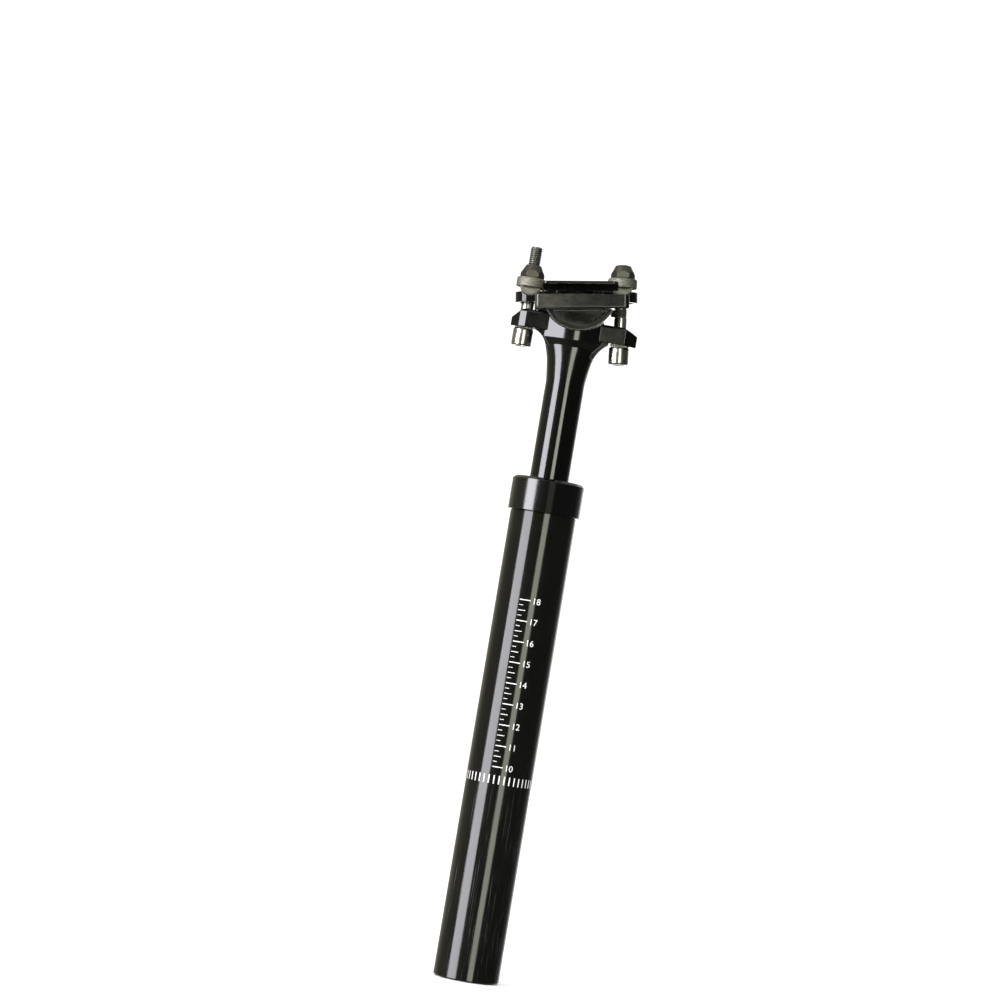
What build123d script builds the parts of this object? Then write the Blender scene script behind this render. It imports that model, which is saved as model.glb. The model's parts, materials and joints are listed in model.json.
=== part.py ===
"""Telescoping suspension seatpost with a two-bolt tilting clamp head.

Frame: millimetres, +Z up along the post's axis, +X forward, +Y to the left.
The origin is the centre of the tube's lower edge.
"""

import os
from math import cos, radians, sin, sqrt, tan

from build123d import *

os.makedirs("parts", exist_ok=True)

# ------------------------------------------------------------------ driving dimensions
OVERALL = 350.0  # tube's lower edge to the front bolt's tip
BOLT_TIP = 19.6  # front bolt's tip above the rod centre
Z_P = OVERALL - BOLT_TIP  # rod centre and tilt axis, on the post's axis

# outer tube
TUBE_D = 31.6
TUBE_BORE = 27.0
TUBE_NECK_D = 30.0  # turned for the collar's thread
TUBE_NECK_Z = Z_P - 106.2  # shoulder that the collar is screwed down to
TUBE_TOP_Z = Z_P - 96.4
KEYWAY_W = 5.0
KEYWAY_Y = 14.5  # keyway floor from the axis
KEYWAY_Z0 = 60.0

# collar, wiper and upper bush
COLLAR_D = 34.5
COLLAR_Z0 = Z_P - 106.1
COLLAR_Z1 = Z_P - 89.9
COLLAR_BEVEL = 1.2
COLLAR_LIP_Z = TUBE_TOP_Z + 1.5
COLLAR_LIP_R = 12.3
BUSH_Z0 = 200.0
BUSH_BORE = 18.8
FLANGE_R = 14.8

# shaft and what it carries inside the tube
SHAFT_D = 18.7
SHAFT_BORE = 13.0
SHAFT_Z0 = 155.4
SHAFT_BORE_TOP = Z_P - 60.0
GUIDE_D = 26.84
GUIDE_Z1 = 186.0
KEY_W = 4.7
KEY_Z0, KEY_Z1 = 158.5, 182.5
KEY_R0, KEY_R1 = 8.05, 14.35
PLUG_FLANGE_Z0 = 150.4
SEAT_TOP_Z = 146.4  # upper end of the spring

# spring and preload
SPRING_WIRE = 3.8
SPRING_MEAN_R = 10.2
SPRING_TURNS = 14.0
SPRING_Z0 = 18.0
CORE_D = 12.0
CORE_L = 60.0
PRELOAD_Z0, PRELOAD_Z1 = 2.0, 14.0
PRELOAD_D = 26.9
PRELOAD_HEX = 8.0
PRELOAD_HEX_DEPTH = 7.5

# head, heights from the rod centre
FRONT_X, REAR_X = 24.0, -22.6  # bolts where they pivot in the ears
FRONT_EAR = (-11.0, -19.7)  # top and underside; the rear ear sits lower
REAR_EAR = (-12.5, -21.0)
EAR_Y = 8.6  # half width of the ears
# plans of the ears' ends: two knees of the slanted sides, then the flat end, x and y
FRONT_EAR_PLAN = ((23.7, EAR_Y), (26.7, 7.07), (30.4, 3.7))
REAR_EAR_PLAN = ((24.6, EAR_Y), (27.4, 7.17), (30.4, 4.44))
GUSSET_Y = 5.6
BLOCK_X = 13.75  # half length of the block
BLOCK_LOW = -22.5
NECK_TOP = -22.0
SHOULDER_LOW = -28.7
# plans of block and shoulder: height, flat end's x and y, facet's knee x and y, ridge's y
BLOCK_PLAN = (BLOCK_LOW, BLOCK_X, 8.04, 5.92, 11.69, 13.0)
SHOULDER_PLAN = (SHOULDER_LOW, 8.5, 4.4, 3.7, 6.5, 7.1)
TROUGH_R = 18.0
EAR_SLOT_L, EAR_SLOT_W = 8.4, 6.6
EAR_SLOT_IN = 0.75  # ear slots' centres, inwards from the bolts
FRONT_ROCKER, REAR_ROCKER = -20.2, -21.7  # rocker washers' axis and flat, bolt heads' upper face
ROCKER_R = 3.95
ROCKER_Y = 4.2
REAR_LEAN = 6.2  # rear bolt leans forward at rest

# clamp: tilted at rest about the Y axis through the rod centre, front lower
TILT = 9.0
ROD_Y = 22.0
GROOVE_R = 3.55
CRADLE_R = 17.7
CRADLE_X = 16.8
CRADLE_END_Y = 13.6
LIP_X = 22.3  # half length of the lower jaws
LIP_MID = -0.7
LIP_LOW, LIP_TOP = -8.5, -2.0
LIP_Y0, LIP_Y1 = 16.4, 27.0
JAW_X = 18.0
JAW_LOW, JAW_TOP = 0.6, 4.8
JAW_Y0, JAW_Y1 = 17.0, 23.2
LOBE_R = 7.3
LOBE_LOW, LOBE_TOP = -3.6, 1.4
SEAT_AXIS = 4.7  # rocking axis of the nut seats, in the clamp's frame
SEAT_ROCK_R = 5.0
SEAT_D = 14.0
SEAT_UNDER, SEAT_OVER = -1.1, 3.5  # seat's flange from its rocking axis
NUT_AF = 10.0
NUT_H = 6.2

# bolts
BOLT_D = 6.0
BOLT_HEAD_D = 9.6
BOLT_HEAD_LOW = -28.5
BOLT_HEX = 5.0
BOLT_HEX_DEPTH = 4.4

c4, s4 = cos(radians(TILT)), sin(radians(TILT))
P = (0, 0, Z_P)
# clamp planes: XY-like (normal up) and XZ-like (normal towards -Y)
CLAMP = Plane(origin=P, x_dir=(c4, 0, -s4), z_dir=(s4, 0, c4))
CLAMP_SIDE = Plane(origin=P, x_dir=(c4, 0, -s4), z_dir=(0, -1, 0))
CLAMP_END = Plane(origin=P, x_dir=(0, 1, 0), z_dir=(c4, 0, -s4))


def seat_on_bolt(x, rocker, lean):
    """Nut seat's axis, x and height above the rod centre, on the bolt that pivots at x, rocker and leans forward."""
    t = tan(radians(lean))
    z = (SEAT_AXIS - (x - rocker * t) * s4) / (c4 + t * s4)
    return x + (z - rocker) * t, z


# ------------------------------------------------------------------ outer tube
with BuildPart() as outer_tube:
    with BuildSketch(Plane.XZ):
        with BuildLine():
            Polyline(
                (TUBE_BORE / 2, 0.5),
                (TUBE_BORE / 2 + 0.5, 0),
                (TUBE_D / 2 - 0.5, 0),
                (TUBE_D / 2, 0.5),
                (TUBE_D / 2, TUBE_NECK_Z - 0.3),
                (TUBE_D / 2 - 0.3, TUBE_NECK_Z),
                (TUBE_NECK_D / 2, TUBE_NECK_Z),
                (TUBE_NECK_D / 2, TUBE_TOP_Z - 0.5),
                (TUBE_NECK_D / 2 - 0.5, TUBE_TOP_Z),
                (TUBE_BORE / 2, TUBE_TOP_Z),
                close=True,
            )
        make_face()
    revolve(axis=Axis.Z)
    # two keyways in the bore, open at the top
    with BuildSketch(Plane.XY.offset(KEYWAY_Z0)):
        with Locations((0, KEYWAY_Y / 2 + 5), (0, -KEYWAY_Y / 2 - 5)):
            Rectangle(KEYWAY_W, KEYWAY_Y - 10)
    extrude(amount=TUBE_TOP_Z - KEYWAY_Z0 + 1, mode=Mode.SUBTRACT)
outer_tube.part.label = "outer_tube"
export_step(outer_tube.part, "parts/outer_tube.step")

# ------------------------------------------------------------------ collar
with BuildPart() as collar_nut:
    with BuildSketch(Plane.XZ):
        with BuildLine():
            Polyline(
                (TUBE_NECK_D / 2 + 0.03, COLLAR_Z0),
                (COLLAR_D / 2 - 0.2, COLLAR_Z0),
                (COLLAR_D / 2, COLLAR_Z0 + 0.2),
                (COLLAR_D / 2, COLLAR_Z1 - COLLAR_BEVEL),
                (COLLAR_D / 2 - COLLAR_BEVEL, COLLAR_Z1),
                (COLLAR_LIP_R + 0.4, COLLAR_Z1),
                (COLLAR_LIP_R, COLLAR_Z1 - 0.4),
                (COLLAR_LIP_R, COLLAR_LIP_Z),
                (TUBE_NECK_D / 2 + 0.03, COLLAR_LIP_Z),
                close=True,
            )
        make_face()
    revolve(axis=Axis.Z)
collar_nut.part.label = "collar_nut"
export_step(collar_nut.part, "parts/collar_nut.step")

# ------------------------------------------------------------------ wiper ring with a raised lip
with BuildPart() as wiper_seal:
    with BuildSketch(Plane.XZ):
        with BuildLine():
            Polyline(
                (SHAFT_D / 2 + 0.6, COLLAR_LIP_Z),
                (COLLAR_LIP_R - 0.02, COLLAR_LIP_Z),
                (COLLAR_LIP_R - 0.02, COLLAR_Z1 - 0.9),
                (SHAFT_D / 2 + 1.2, COLLAR_Z1 - 0.9),
                (SHAFT_D / 2 + 0.5, COLLAR_Z1 + 0.3),
                (SHAFT_D / 2 + 0.08, COLLAR_Z1 + 0.3),
                (SHAFT_D / 2 + 0.08, COLLAR_Z1 - 0.3),
                close=True,
            )
        make_face()
    revolve(axis=Axis.Z)
wiper_seal.part.label = "wiper_seal"
export_step(wiper_seal.part, "parts/wiper_seal.step")

# ------------------------------------------------------------------ flanged bush in the tube's top
with BuildPart() as upper_bushing:
    with BuildSketch(Plane.XZ):
        with BuildLine():
            Polyline(
                (BUSH_BORE / 2 + 0.5, BUSH_Z0),
                (TUBE_BORE / 2 - 0.6, BUSH_Z0),
                (TUBE_BORE / 2 - 0.05, BUSH_Z0 + 0.6),
                (TUBE_BORE / 2 - 0.05, TUBE_TOP_Z),
                (FLANGE_R, TUBE_TOP_Z),
                (FLANGE_R, COLLAR_LIP_Z),
                (BUSH_BORE / 2 + 0.5, COLLAR_LIP_Z),
                (BUSH_BORE / 2, COLLAR_LIP_Z - 0.5),
                (BUSH_BORE / 2, BUSH_Z0 + 0.5),
                close=True,
            )
        make_face()
    revolve(axis=Axis.Z)
upper_bushing.part.label = "upper_bushing"
export_step(upper_bushing.part, "parts/upper_bushing.step")

# ------------------------------------------------------------------ forged shaft with its head
# neck sections: height below the rod centre, half width in X, half width in Y
NECK = [
    (-45.0, SHAFT_D / 2, SHAFT_D / 2),
    (-41.0, 9.5, 9.37),
    (-36.5, 10.05, 9.45),
    (-32.0, 10.75, 9.6),
    (-28.5, 11.65, 9.75),
    (-25.6, 12.7, 9.9),
    (NECK_TOP, 13.9, 10.1),
]
with BuildPart() as inner_shaft:
    with BuildSketch(Plane.XY.offset(SHAFT_Z0)):
        Circle(SHAFT_D / 2)
    extrude(amount=Z_P + NECK[0][0] - SHAFT_Z0)
    # neck that widens fore and aft
    for z, a, b in NECK:
        with BuildSketch(Plane.XY.offset(Z_P + z)):
            if a == b:
                Circle(a)
            else:
                Ellipse(a, b)
    loft()
    # sloped shoulder under the block, running out inside the neck
    for z, ex, ey, kx, ky, ry in (BLOCK_PLAN, SHOULDER_PLAN):
        with BuildSketch(Plane.XY.offset(Z_P + z)):
            with BuildLine():
                Polyline((kx, ky), (ex, ey), (ex, -ey), (kx, -ky))
                ThreePointArc((kx, -ky), (0, -ry), (-kx, -ky))
                Polyline((-kx, -ky), (-ex, -ey), (-ex, ey), (-kx, ky))
                ThreePointArc((-kx, ky), (0, ry), (kx, ky))
            make_face()
    loft(ruled=True)
    # block under the trough: a rounded ridge and two slanted facets on each side
    for z, ex, ey, kx, ky, ry in (BLOCK_PLAN,):
        with BuildSketch(Plane.XY.offset(Z_P + z)):
            with BuildLine():
                Polyline((kx, ky), (ex, ey), (ex, -ey), (kx, -ky))
                ThreePointArc((kx, -ky), (0, -ry), (-kx, -ky))
                Polyline((-kx, -ky), (-ex, -ey), (-ex, ey), (-kx, ky))
                ThreePointArc((-kx, ky), (0, ry), (kx, ky))
            make_face()
    extrude(amount=14)
    # two ears for the bolts, the rear one lower, with bevelled rims
    for side, (top, low), plan in ((1, FRONT_EAR, FRONT_EAR_PLAN), (-1, REAR_EAR, REAR_EAR_PLAN)):
        with BuildSketch(Plane.XY.offset(Z_P + low)):
            with BuildLine():
                outline = [(0, EAR_Y)] + [(side * x, y) for x, y in plan]
                Polyline(*outline, *[(x, -y) for x, y in reversed(outline)], close=True)
            make_face()
        extrude(amount=top - low)
        chamfer(
            inner_shaft.edges().filter_by(
                lambda e: side * e.center().X > BLOCK_X + 1
                and e.bounding_box().size.Z < 1e-6
                and abs(e.center().Z - Z_P - top) < 1e-6
            ),
            1.3,
        )
        fillet(
            inner_shaft.edges().filter_by(
                lambda e: side * e.center().X > BLOCK_X + 1
                and e.bounding_box().size.Z < 1e-6
                and abs(e.center().Z - Z_P - low) < 1e-6
            ),
            0.5,
        )
    # ears' ends sloped off
    for x0, z0, x1, z1 in ((25.5, -11.0, 32.0, -17.1), (-23.5, -12.4, -32.0, -16.4)):
        with BuildSketch(Plane.XZ.offset(-EAR_Y - 1)):
            with BuildLine():
                Polyline((x0, Z_P + z0), (x1, Z_P + z1), (x1, Z_P - 5), (x0, Z_P - 5), close=True)
            make_face()
        extrude(amount=2 * EAR_Y + 2, mode=Mode.SUBTRACT)
    # gussets from the ears' undersides down into the neck
    for x0, z0, mx, mz, x1, z1 in (
        (19.6, FRONT_EAR[1], 15.2, -21.9, 12.55, -26.3),
        (-17.3, -21.9, -14.0, -24.9, -11.45, -29.6),
    ):
        inner = 8.0 if x0 > 0 else -8.0
        with BuildSketch(Plane.XZ.offset(-GUSSET_Y)):
            with BuildLine():
                Polyline((inner, Z_P - 18.5), (x0, Z_P - 18.5), (x0, Z_P + z0))
                ThreePointArc((x0, Z_P + z0), (mx, Z_P + mz), (x1, Z_P + z1))
                Polyline((x1, Z_P + z1), (inner, Z_P + z1), (inner, Z_P - 18.5))
            make_face()
        extrude(amount=2 * GUSSET_Y)
    # trough for the cradle
    with BuildSketch(Plane.XZ.offset(-40)):
        with Locations((0, Z_P)):
            Circle(TROUGH_R)
    extrude(amount=80, mode=Mode.SUBTRACT)
    # bolt slots through the ears, and half-round pockets for the rocker washers
    with BuildSketch(Plane.XY.offset(Z_P + REAR_EAR[1] - 1)):
        with Locations((FRONT_X - EAR_SLOT_IN, 0), (REAR_X + EAR_SLOT_IN, 0)):
            SlotOverall(EAR_SLOT_L, EAR_SLOT_W)
    extrude(amount=FRONT_EAR[0] - REAR_EAR[1] + 2, mode=Mode.SUBTRACT)
    with BuildSketch(Plane.XZ.offset(-ROCKER_Y - 0.2)):
        with Locations((FRONT_X, Z_P + FRONT_ROCKER), (REAR_X, Z_P + REAR_ROCKER)):
            Circle(ROCKER_R + 0.35)
    extrude(amount=2 * ROCKER_Y + 0.4, mode=Mode.SUBTRACT)
    # blind bore from below and two key slots
    with BuildSketch(Plane.XY.offset(SHAFT_Z0)):
        Circle(SHAFT_BORE / 2)
    extrude(amount=SHAFT_BORE_TOP - SHAFT_Z0, mode=Mode.SUBTRACT)
    with BuildSketch(Plane.XY.offset(KEY_Z0 - 0.3)):
        with Locations((0, 10), (0, -10)):
            Rectangle(KEY_W + 0.06, 4)
    extrude(amount=KEY_Z1 - KEY_Z0 + 0.6, mode=Mode.SUBTRACT)
inner_shaft.part.label = "inner_shaft"
export_step(inner_shaft.part, "parts/inner_shaft.step")

# ------------------------------------------------------------------ slider on the shaft's lower end
with BuildPart() as guide_bush:
    with BuildSketch(Plane.XY.offset(SHAFT_Z0)):
        Circle(GUIDE_D / 2)
        Circle(SHAFT_D / 2 + 0.03, mode=Mode.SUBTRACT)
    extrude(amount=GUIDE_Z1 - SHAFT_Z0)
    with BuildSketch(Plane.XY.offset(KEY_Z0 - 0.3)):
        with Locations((0, 11), (0, -11)):
            Rectangle(KEY_W + 0.06, 8)
    extrude(amount=KEY_Z1 - KEY_Z0 + 0.6, mode=Mode.SUBTRACT)
guide_bush.part.label = "guide_bush"
export_step(guide_bush.part, "parts/guide_bush.step")

# ------------------------------------------------------------------ two anti-rotation keys
with BuildPart() as shaft_keys:
    with BuildSketch(Plane.XY.offset(KEY_Z0)):
        with Locations((0, (KEY_R0 + KEY_R1) / 2), (0, -(KEY_R0 + KEY_R1) / 2)):
            Rectangle(KEY_W, KEY_R1 - KEY_R0)
    extrude(amount=KEY_Z1 - KEY_Z0)
    chamfer(shaft_keys.edges().filter_by(Axis.X).group_by(lambda e: round(abs(e.center().Y), 3))[-1], 0.5)
shaft_keys.part.label = "shaft_keys"
export_step(shaft_keys.part, "parts/shaft_keys.step")

# ------------------------------------------------------------------ top-out bumper
with BuildPart() as top_out_bumper:
    with BuildSketch(Plane.XZ):
        with BuildLine():
            Polyline(
                (SHAFT_D / 2 + 0.05, GUIDE_Z1),
                (12.4, GUIDE_Z1),
                (12.4, GUIDE_Z1 + 4.0),
                (11.6, GUIDE_Z1 + 5.4),
                (12.4, GUIDE_Z1 + 6.9),
                (12.4, GUIDE_Z1 + 8.2),
                (11.6, GUIDE_Z1 + 9.6),
                (12.4, GUIDE_Z1 + 11.0),
                (12.4, BUSH_Z0 - 0.1),
                (SHAFT_D / 2 + 0.05, BUSH_Z0 - 0.1),
                close=True,
            )
        make_face()
    revolve(axis=Axis.Z)
top_out_bumper.part.label = "top_out_bumper"
export_step(top_out_bumper.part, "parts/top_out_bumper.step")

# ------------------------------------------------------------------ plug screwed into the shaft's end
with BuildPart() as shaft_end_plug:
    with BuildSketch(Plane.XY.offset(PLUG_FLANGE_Z0)):
        Circle(12.6)
    extrude(amount=SHAFT_Z0 - PLUG_FLANGE_Z0)
    chamfer(shaft_end_plug.edges(), 0.5)
    with BuildSketch(Plane.XY.offset(SHAFT_Z0)):
        Circle(SHAFT_BORE / 2 - 0.03)
    extrude(amount=20)
    chamfer(shaft_end_plug.edges().sort_by(Axis.Z)[-1], 0.8)
    with BuildSketch(Plane.XY.offset(PLUG_FLANGE_Z0)):
        RegularPolygon(4.0, 6, major_radius=False)
    extrude(amount=9, mode=Mode.SUBTRACT)
shaft_end_plug.part.label = "shaft_end_plug"
export_step(shaft_end_plug.part, "parts/shaft_end_plug.step")

# ------------------------------------------------------------------ upper spring seat
with BuildPart() as spring_seat_upper:
    with BuildSketch(Plane.XZ):
        with BuildLine():
            Polyline(
                (4.2, PLUG_FLANGE_Z0),
                (12.6, PLUG_FLANGE_Z0),
                (12.6, SEAT_TOP_Z),
                (7.7, SEAT_TOP_Z),
                (7.7, SEAT_TOP_Z - 10),
                (6.6, SEAT_TOP_Z - 12),
                (4.2, SEAT_TOP_Z - 12),
                close=True,
            )
        make_face()
    revolve(axis=Axis.Z)
spring_seat_upper.part.label = "spring_seat_upper"
export_step(spring_seat_upper.part, "parts/spring_seat_upper.step")

# ------------------------------------------------------------------ coil spring
SPRING_PITCH = (SEAT_TOP_Z - SPRING_Z0 - SPRING_WIRE - 0.2) / SPRING_TURNS
with BuildPart() as main_spring:
    with BuildLine() as coil:
        Helix(
            pitch=SPRING_PITCH,
            height=SPRING_PITCH * SPRING_TURNS,
            radius=SPRING_MEAN_R,
            center=(0, 0, SPRING_Z0 + SPRING_WIRE / 2 + 0.1),
        )
    with BuildSketch(Plane(origin=coil.line @ 0, z_dir=coil.line % 0)):
        Circle(SPRING_WIRE / 2)
    sweep(path=coil.line, is_frenet=True)
main_spring.part.label = "main_spring"
export_step(main_spring.part, "parts/main_spring.step")

# ------------------------------------------------------------------ bottom-out buffer inside the spring
with BuildPart() as elastomer_core:
    with BuildSketch(Plane.XY.offset(SPRING_Z0)):
        Circle(CORE_D / 2)
    extrude(amount=CORE_L)
    fillet(elastomer_core.edges().sort_by(Axis.Z)[-1], 2.0)
elastomer_core.part.label = "elastomer_core"
export_step(elastomer_core.part, "parts/elastomer_core.step")

# ------------------------------------------------------------------ lower spring seat, a cup for the buffer
with BuildPart() as spring_seat_lower:
    with BuildSketch(Plane.XZ):
        with BuildLine():
            Polyline(
                (0, PRELOAD_Z1),
                (12.6, PRELOAD_Z1),
                (12.6, SPRING_Z0),
                (7.7, SPRING_Z0),
                (7.7, SPRING_Z0 + 8),
                (7.0, SPRING_Z0 + 9),
                (CORE_D / 2 + 0.05, SPRING_Z0 + 9),
                (CORE_D / 2 + 0.05, SPRING_Z0),
                (0, SPRING_Z0),
                close=True,
            )
        make_face()
    revolve(axis=Axis.Z)
spring_seat_lower.part.label = "spring_seat_lower"
export_step(spring_seat_lower.part, "parts/spring_seat_lower.step")

# ------------------------------------------------------------------ preload plug with a hexagon socket
with BuildPart() as preload_plug:
    with BuildSketch(Plane.XY.offset(PRELOAD_Z0)):
        Circle(PRELOAD_D / 2)
    extrude(amount=PRELOAD_Z1 - PRELOAD_Z0)
    chamfer(preload_plug.edges(), 0.6)
    with BuildSketch(Plane.XY.offset(PRELOAD_Z0)):
        RegularPolygon(PRELOAD_HEX / 2, 6, major_radius=False)
    extrude(amount=PRELOAD_HEX_DEPTH, mode=Mode.SUBTRACT)
preload_plug.part.label = "preload_plug"
export_step(preload_plug.part, "parts/preload_plug.step")

# ------------------------------------------------------------------ half-moon cradle with the lower jaws
CH = -6.6  # where the half-moon meets the cradle's upper body
CHX = sqrt(CRADLE_R**2 - CH**2)
with BuildPart() as lower_cradle:
    # half-moon with its flat upper body, across the trough
    with BuildSketch(CLAMP_SIDE):
        with BuildLine():
            ThreePointArc((-CHX, CH), (0, -CRADLE_R), (CHX, CH))
            Polyline((CHX, CH), (CRADLE_X, CH + 0.4), (CRADLE_X, LIP_TOP), (-CRADLE_X, LIP_TOP), (-CRADLE_X, CH + 0.4), (-CHX, CH))
        make_face()
    extrude(amount=CRADLE_END_Y, both=True)
    # pocket in each end face, leaving a rim
    rim = CRADLE_R - 2.4
    low = -8.6
    lowx = sqrt(rim**2 - low**2)
    for side in (1, -1):
        with BuildSketch(CLAMP_SIDE.offset(side * CRADLE_END_Y)):
            with BuildLine():
                ThreePointArc((-lowx, low), (0, -rim), (lowx, low))
                Line((lowx, low), (-lowx, low))
            make_face()
        extrude(amount=-side * 3.0, mode=Mode.SUBTRACT)
    # webs out to the jaws
    with BuildSketch(CLAMP.offset(CH + 0.4)):
        Rectangle(2 * CRADLE_X - 3.0, 2 * LIP_Y0 + 2)
    extrude(amount=LIP_TOP - CH - 0.4)
    # jaws along the rods
    with BuildSketch(CLAMP.offset(LIP_LOW)):
        with Locations((LIP_MID, (LIP_Y0 + LIP_Y1) / 2), (LIP_MID, -(LIP_Y0 + LIP_Y1) / 2)):
            RectangleRounded(2 * LIP_X, LIP_Y1 - LIP_Y0, 2.2)
    extrude(amount=LIP_TOP - LIP_LOW)
    fillet(
        lower_cradle.edges().filter_by(
            lambda e: abs(CLAMP.to_local_coords(e.center()).Z - LIP_LOW) < 1e-6
            and abs(e.center().Y) > LIP_Y0 - 0.1
        ),
        1.0,
    )
    # rod grooves
    with BuildSketch(CLAMP_END.offset(-40)):
        with Locations((ROD_Y, 0), (-ROD_Y, 0)):
            Circle(GROOVE_R)
    extrude(amount=80, mode=Mode.SUBTRACT)
    # relief for the rear bolt
    with BuildSketch(CLAMP.offset(-9)):
        with Locations((-19.9, 0)):
            Circle(4.3)
    extrude(amount=9, mode=Mode.SUBTRACT)
lower_cradle.part.label = "lower_cradle"
export_step(lower_cradle.part, "parts/lower_cradle.step")

# ------------------------------------------------------------------ upper yoke with jaws and bolt lobes
F_SEAT = seat_on_bolt(FRONT_X, FRONT_ROCKER, 0)
R_SEAT = seat_on_bolt(REAR_X, REAR_ROCKER, REAR_LEAN)
FX = F_SEAT[0] * c4 - F_SEAT[1] * s4  # lobes' centres in the clamp's frame
RX = R_SEAT[0] * c4 - R_SEAT[1] * s4
with BuildPart() as upper_clamp:
    # gull-wing beam from lobe to lobe
    with BuildSketch(CLAMP_SIDE):
        with BuildLine():
            Polyline(
                (RX - LOBE_R - 1, LOBE_LOW),
                (-19.4, LOBE_LOW),
                (-18.2, LIP_TOP + 0.5),
                (18.2, LIP_TOP + 0.5),
                (19.4, LOBE_LOW),
                (FX + LOBE_R + 1, LOBE_LOW),
                (FX + LOBE_R + 1, LOBE_TOP),
                (15.6, LOBE_TOP),
                (13.2, 3.6),
                (-9.2, 3.6),
                (-11.6, LOBE_TOP),
                (RX - LOBE_R - 1, LOBE_TOP),
                close=True,
            )
        make_face()
    extrude(amount=LOBE_R, both=True)
    with BuildSketch(CLAMP.offset(-10)):
        with Locations(((FX + RX) / 2, 0)):
            SlotOverall(FX - RX + 2 * LOBE_R, 2 * LOBE_R)
    extrude(amount=30, mode=Mode.INTERSECT)
    # cross web and jaws
    with BuildSketch(CLAMP.offset(JAW_LOW)):
        Rectangle(22, 2 * JAW_Y0 + 4)
        with Locations((0, (JAW_Y0 + JAW_Y1) / 2), (0, -(JAW_Y0 + JAW_Y1) / 2)):
            RectangleRounded(2 * JAW_X, JAW_Y1 - JAW_Y0, 2.4)
    extrude(amount=JAW_TOP - JAW_LOW)
    fillet(
        upper_clamp.edges().filter_by(
            lambda e: abs(CLAMP.to_local_coords(e.center()).Z - JAW_TOP) < 1e-6
        ),
        0.7,
    )
    with BuildSketch(CLAMP.offset(JAW_TOP)):
        RectangleRounded(14, 26, 3)
    extrude(amount=-1.2, mode=Mode.SUBTRACT)
    # rod grooves
    with BuildSketch(CLAMP_END.offset(-40)):
        with Locations((ROD_Y, 0), (-ROD_Y, 0)):
            Circle(GROOVE_R)
    extrude(amount=80, mode=Mode.SUBTRACT)
    # slotted bolt holes and rocking grooves in the lobes
    with BuildSketch(CLAMP.offset(LOBE_LOW - 1)):
        with Locations((FX, 0), (RX, 0)):
            SlotOverall(11.0, 7.2)
    extrude(amount=8, mode=Mode.SUBTRACT)
    with BuildSketch(CLAMP_SIDE.offset(-12)):
        with Locations((FX, SEAT_AXIS), (RX, SEAT_AXIS)):
            Circle(SEAT_ROCK_R + 0.4)
    extrude(amount=24, mode=Mode.SUBTRACT)
upper_clamp.part.label = "upper_clamp"
export_step(upper_clamp.part, "parts/upper_clamp.step")

# ------------------------------------------------------------------ bolts, heads downwards
with BuildPart() as front_bolt:
    with BuildSketch(Plane.XY.offset(Z_P + BOLT_HEAD_LOW)):
        with Locations((FRONT_X, 0)):
            Circle(BOLT_HEAD_D / 2)
    extrude(amount=FRONT_ROCKER - BOLT_HEAD_LOW)
    chamfer(front_bolt.edges().sort_by(Axis.Z)[0], 0.5)
    chamfer(front_bolt.edges().sort_by(Axis.Z)[-1], 0.4)
    with BuildSketch(Plane.XY.offset(Z_P + FRONT_ROCKER)):
        with Locations((FRONT_X, 0)):
            Circle(BOLT_D / 2)
    extrude(amount=BOLT_TIP - FRONT_ROCKER)
    chamfer(front_bolt.edges().sort_by(Axis.Z)[-1], 0.6)
    with BuildSketch(Plane.XY.offset(Z_P + BOLT_HEAD_LOW)):
        with Locations((FRONT_X, 0)):
            RegularPolygon(BOLT_HEX / 2, 6, major_radius=False)
    extrude(amount=BOLT_HEX_DEPTH, mode=Mode.SUBTRACT)
front_bolt.part.label = "front_bolt"
export_step(front_bolt.part, "parts/front_bolt.step")

# from the front bolt's line to the rear one's, leaning about the rear rocker washer's axis
TO_PIVOT = Pos(-FRONT_X, 0, -Z_P - FRONT_ROCKER)
TO_REAR = Pos(REAR_X, 0, Z_P + REAR_ROCKER) * Rot(0, REAR_LEAN, 0)
rear_bolt_copy = TO_REAR * TO_PIVOT * front_bolt.part
with BuildPart() as rear_bolt:
    add(rear_bolt_copy)
rear_bolt.part.label = "rear_bolt"
export_step(rear_bolt.part, "parts/rear_bolt.step")

# ------------------------------------------------------------------ half-round rocker washers
with BuildPart() as front_bolt_washer:
    with BuildSketch(Plane.XZ.offset(-ROCKER_Y)):
        with Locations((FRONT_X, Z_P + FRONT_ROCKER)):
            Circle(ROCKER_R)
            with Locations((0, -ROCKER_R)):
                Rectangle(2 * ROCKER_R + 1, 2 * ROCKER_R, mode=Mode.SUBTRACT)
    extrude(amount=2 * ROCKER_Y)
    with BuildSketch(Plane.XY.offset(Z_P + FRONT_ROCKER - 1)):
        with Locations((FRONT_X, 0)):
            Circle(BOLT_D / 2 + 0.1)
    extrude(amount=ROCKER_R + 2, mode=Mode.SUBTRACT)
front_bolt_washer.part.label = "front_bolt_washer"
export_step(front_bolt_washer.part, "parts/front_bolt_washer.step")

rear_washer_copy = TO_REAR * TO_PIVOT * front_bolt_washer.part
with BuildPart() as rear_bolt_washer:
    add(rear_washer_copy)
rear_bolt_washer.part.label = "rear_bolt_washer"
export_step(rear_bolt_washer.part, "parts/rear_bolt_washer.step")

# ------------------------------------------------------------------ nut seats that rock in the lobes
FZ = Z_P + F_SEAT[1]
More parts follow.
